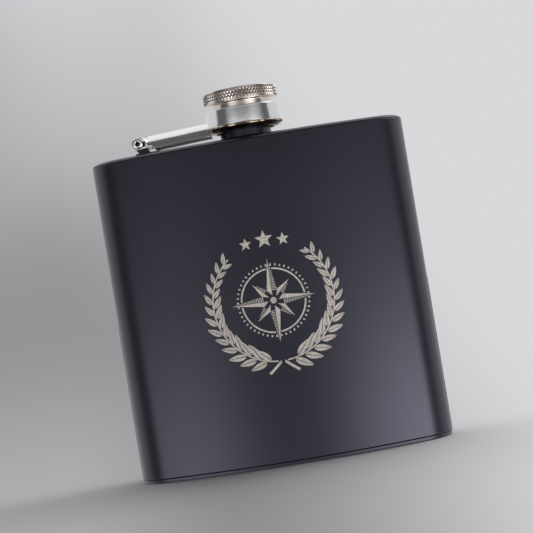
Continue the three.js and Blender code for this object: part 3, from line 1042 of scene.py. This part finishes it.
# %% Lay the ornament on the front
ORNAMENT_X, ORNAMENT_Z = 0.7, 47.3
DEPTH = 0.03
STRIP = 1.2
shape = bmesh.new()
shape.from_mesh(engraving.data)
reach = 22
for cut in np.arange(-reach, reach, STRIP):
    everything = shape.verts[:] + shape.edges[:] + shape.faces[:]
    bmesh.ops.bisect_plane(shape, geom=everything, plane_co=(cut, 0, 0), plane_no=(1, 0, 0))
for face in shape.faces:
    face.normal_update()
    if face.normal.z < 0:
        face.normal_flip()
top_faces = shape.faces[:]
grown_faces = bmesh.ops.extrude_face_region(shape, geom=top_faces)["geom"]
for point in grown_faces:
    if isinstance(point, bmesh.types.BMVert):
        point.co.z = DEPTH
bmesh.ops.recalc_face_normals(shape, faces=shape.faces)
front = BEND_RADIUS + END_RADIUS
for point in shape.verts:
    x, y, height = point.co
    bend = (x + ORNAMENT_X) / front
    radius = front + 0.004 + height
    point.co = Vector((
        radius * math.sin(bend) * MM, (BEND_Y - radius * math.cos(bend)) * MM, (y + ORNAMENT_Z) * MM
    ))
shape.to_mesh(engraving.data)
shape.free()
engraving.data.shade_flat()
print("engraving", len(engraving.data.polygons), "faces")
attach(engraving, "flask")

# %% [markdown]
# ## Stage
# The flask stands on a pale floor that only catches its shadow. The light is a studio: pale all round
# behind the flask and darker in front, with a low window at each side, a pale band between them and
# one soft box. A polished piece shows its surroundings, so these are designed as carefully as the flask.

# %% Floor
floor_mesh = bpy.data.meshes.new("floor")
FLOOR_HALF = 3.0
corners = [(-FLOOR_HALF, -FLOOR_HALF, 0), (FLOOR_HALF, -FLOOR_HALF, 0)]
corners += [(FLOOR_HALF, FLOOR_HALF, 0), (-FLOOR_HALF, FLOOR_HALF, 0)]
floor_mesh.from_pydata(corners, [], [(0, 1, 2, 3)])
floor = bpy.data.objects.new("floor", floor_mesh)
bpy.context.scene.collection.objects.link(floor)


def paper(graph, place):
    pulp = graph.noise(place, 90, 4)
    colour = graph.mix(pulp, (0.62, 0.62, 0.625, 1), (0.70, 0.70, 0.705, 1))
    return {"Base Color": colour, "Roughness": 0.85 + 0.1 * pulp, "Normal": graph.bump(pulp, 0.2 * MM)}


floor_mesh.materials.append(surface("pale_floor", {}, paper))
floor.is_shadow_catcher = True
floor.visible_glossy = False
floor.visible_diffuse = False
floor.visible_shadow = False

# %% [markdown]
# The world answers by kind of ray. The camera sees a pale backdrop with painted shade, darker towards the
# left and the bottom behind the flask, and every other ray sees the studio, which the metal and the coating
# show. The studio's brightness goes into the
# Background's Strength, because a mix of colours would stop at 1 and the windows are brighter than that.

# %% World
world = bpy.data.worlds.new("studio")
bpy.context.scene.world = world
world.use_nodes = True
sky = Graph(world.node_tree)
world.node_tree.nodes.clear()
facing = sky.out(sky.make("ShaderNodeTexCoord"), "Generated")
sx, sy, sz = sky.split(facing)
overhead = 0.25 * sky.maths("MAXIMUM", sz, 0.0)
behind = sky.spread(sy + overhead, -0.02, 0.03)
level_length = sky.maths("SQRT", sx * sx + sy * sy) + 0.0001
sideways = sx / level_length
right_window = sky.spread(sideways, 0.10, 0.74) * (1.0 - sky.spread(sideways, 0.80, 0.93))
left_window = sky.spread(sideways, -0.12, -0.55) * (1.0 - sky.spread(sideways, -0.70, -0.84))
upper = 1.0 - sky.spread(sz, 0.12, 0.45)
lower = sky.spread(sz, 0.0, -0.22) * (1.0 - sky.spread(sz, -0.42, -0.75))
windows = right_window * (0.35 * upper + 5.3 * lower) + left_window * (0.2 * upper + 2.6 * lower)
middle = 1.0 - sky.spread(sky.maths("ABSOLUTE", sideways), 0.5, 0.85)
lamp_band = sky.spread(sz, 0.03, 0.08) * (1.0 - sky.spread(sz, 0.15, 0.22))
front_light = 0.13 + windows + 0.10 * lower + middle * (0.18 * upper + 0.45 * lamp_band)
above = 0.80 + 0.35 * sky.spread(sz, 0.25, 0.6)
studio = front_light + (above - front_light) * behind
seen = sky.make("ShaderNodeLightPath")
aside = sky.spread(sy, 0.96, 0.86)
# Painted shade on the backdrop: seen from the front it darkens towards the left and the bottom, and painted
# light lifts its left corners. From other sides it stays pale.
painted_backdrop_light = sky.maths("MAXIMUM", sky.spread(sx * 1.1 + sz * 0.55, -0.16, 0.12), aside)
pale = sky.mix(painted_backdrop_light, (0.30, 0.30, 0.312, 1), (0.69, 0.69, 0.71, 1))
room_light = sky.make("ShaderNodeBackground", None, {"Color": (1, 1, 1.02, 1), "Strength": studio})
corners = sky.spread(sky.maths("ABSOLUTE", sz), 0.01, 0.12) * (1.0 - aside)
painted_left_lift = 1.0 + 0.42 * sky.spread(sx, -0.05, -0.17) * corners
backdrop = sky.make("ShaderNodeBackground", None, {"Color": pale, "Strength": painted_left_lift})
choice = sky.make("ShaderNodeMixShader", None, {
    0: sky.out(seen, "Is Camera Ray"), 1: sky.out(room_light), 2: sky.out(backdrop),
})
end = sky.make("ShaderNodeOutputWorld")
sky.feed(end.inputs["Surface"], sky.out(choice))

# %% Soft box
TARGET = Vector((0, 0, RIM_Z / 2 * MM))


def soft_box(name, place, width, height, power, colour=(1, 1, 1)):
    light = bpy.data.lights.new(name, "AREA")
    light.shape = "RECTANGLE"
    light.size, light.size_y = width, height
    light.energy = power
    light.color = colour
    lamp = bpy.data.objects.new(name, light)
    lamp.location = place
    lamp.rotation_euler = (TARGET - Vector(place)).to_track_quat("-Z", "Y").to_euler()
    bpy.context.scene.collection.objects.link(lamp)


soft_box("right_box", (0.9, 0.3, 0.9), 0.6, 0.6, 4)

# %% [markdown]
# The camera looks at the front from nearly half a metre, level with the middle. The flask stands
# upright for its joints and its base, so the lean in the picture is a roll of the camera.

# %% Camera
ROLL, YAW, PITCH = math.radians(9.38), math.radians(-1.16), math.radians(0.45)
EYE = Vector((9.3, -460, 53.6)) * MM
camera_data = bpy.data.cameras.new("camera")
camera_data.sensor_width = 36
camera_data.lens = 105.8
camera = bpy.data.objects.new("camera", camera_data)
ahead = Vector((math.sin(YAW) * math.cos(PITCH), math.cos(YAW) * math.cos(PITCH), math.sin(PITCH)))
level = ahead.cross(Vector((0, 0, 1))).normalized()
upright = level.cross(ahead)
right = level * math.cos(ROLL) - upright * math.sin(ROLL)
up = level * math.sin(ROLL) + upright * math.cos(ROLL)
turn = Matrix((right, up, -ahead)).transposed()
camera.matrix_world = Matrix.Translation(EYE) @ turn.to_4x4()
bpy.context.scene.collection.objects.link(camera)
bpy.context.scene.camera = camera
bpy.context.scene.view_settings.view_transform = "Standard"
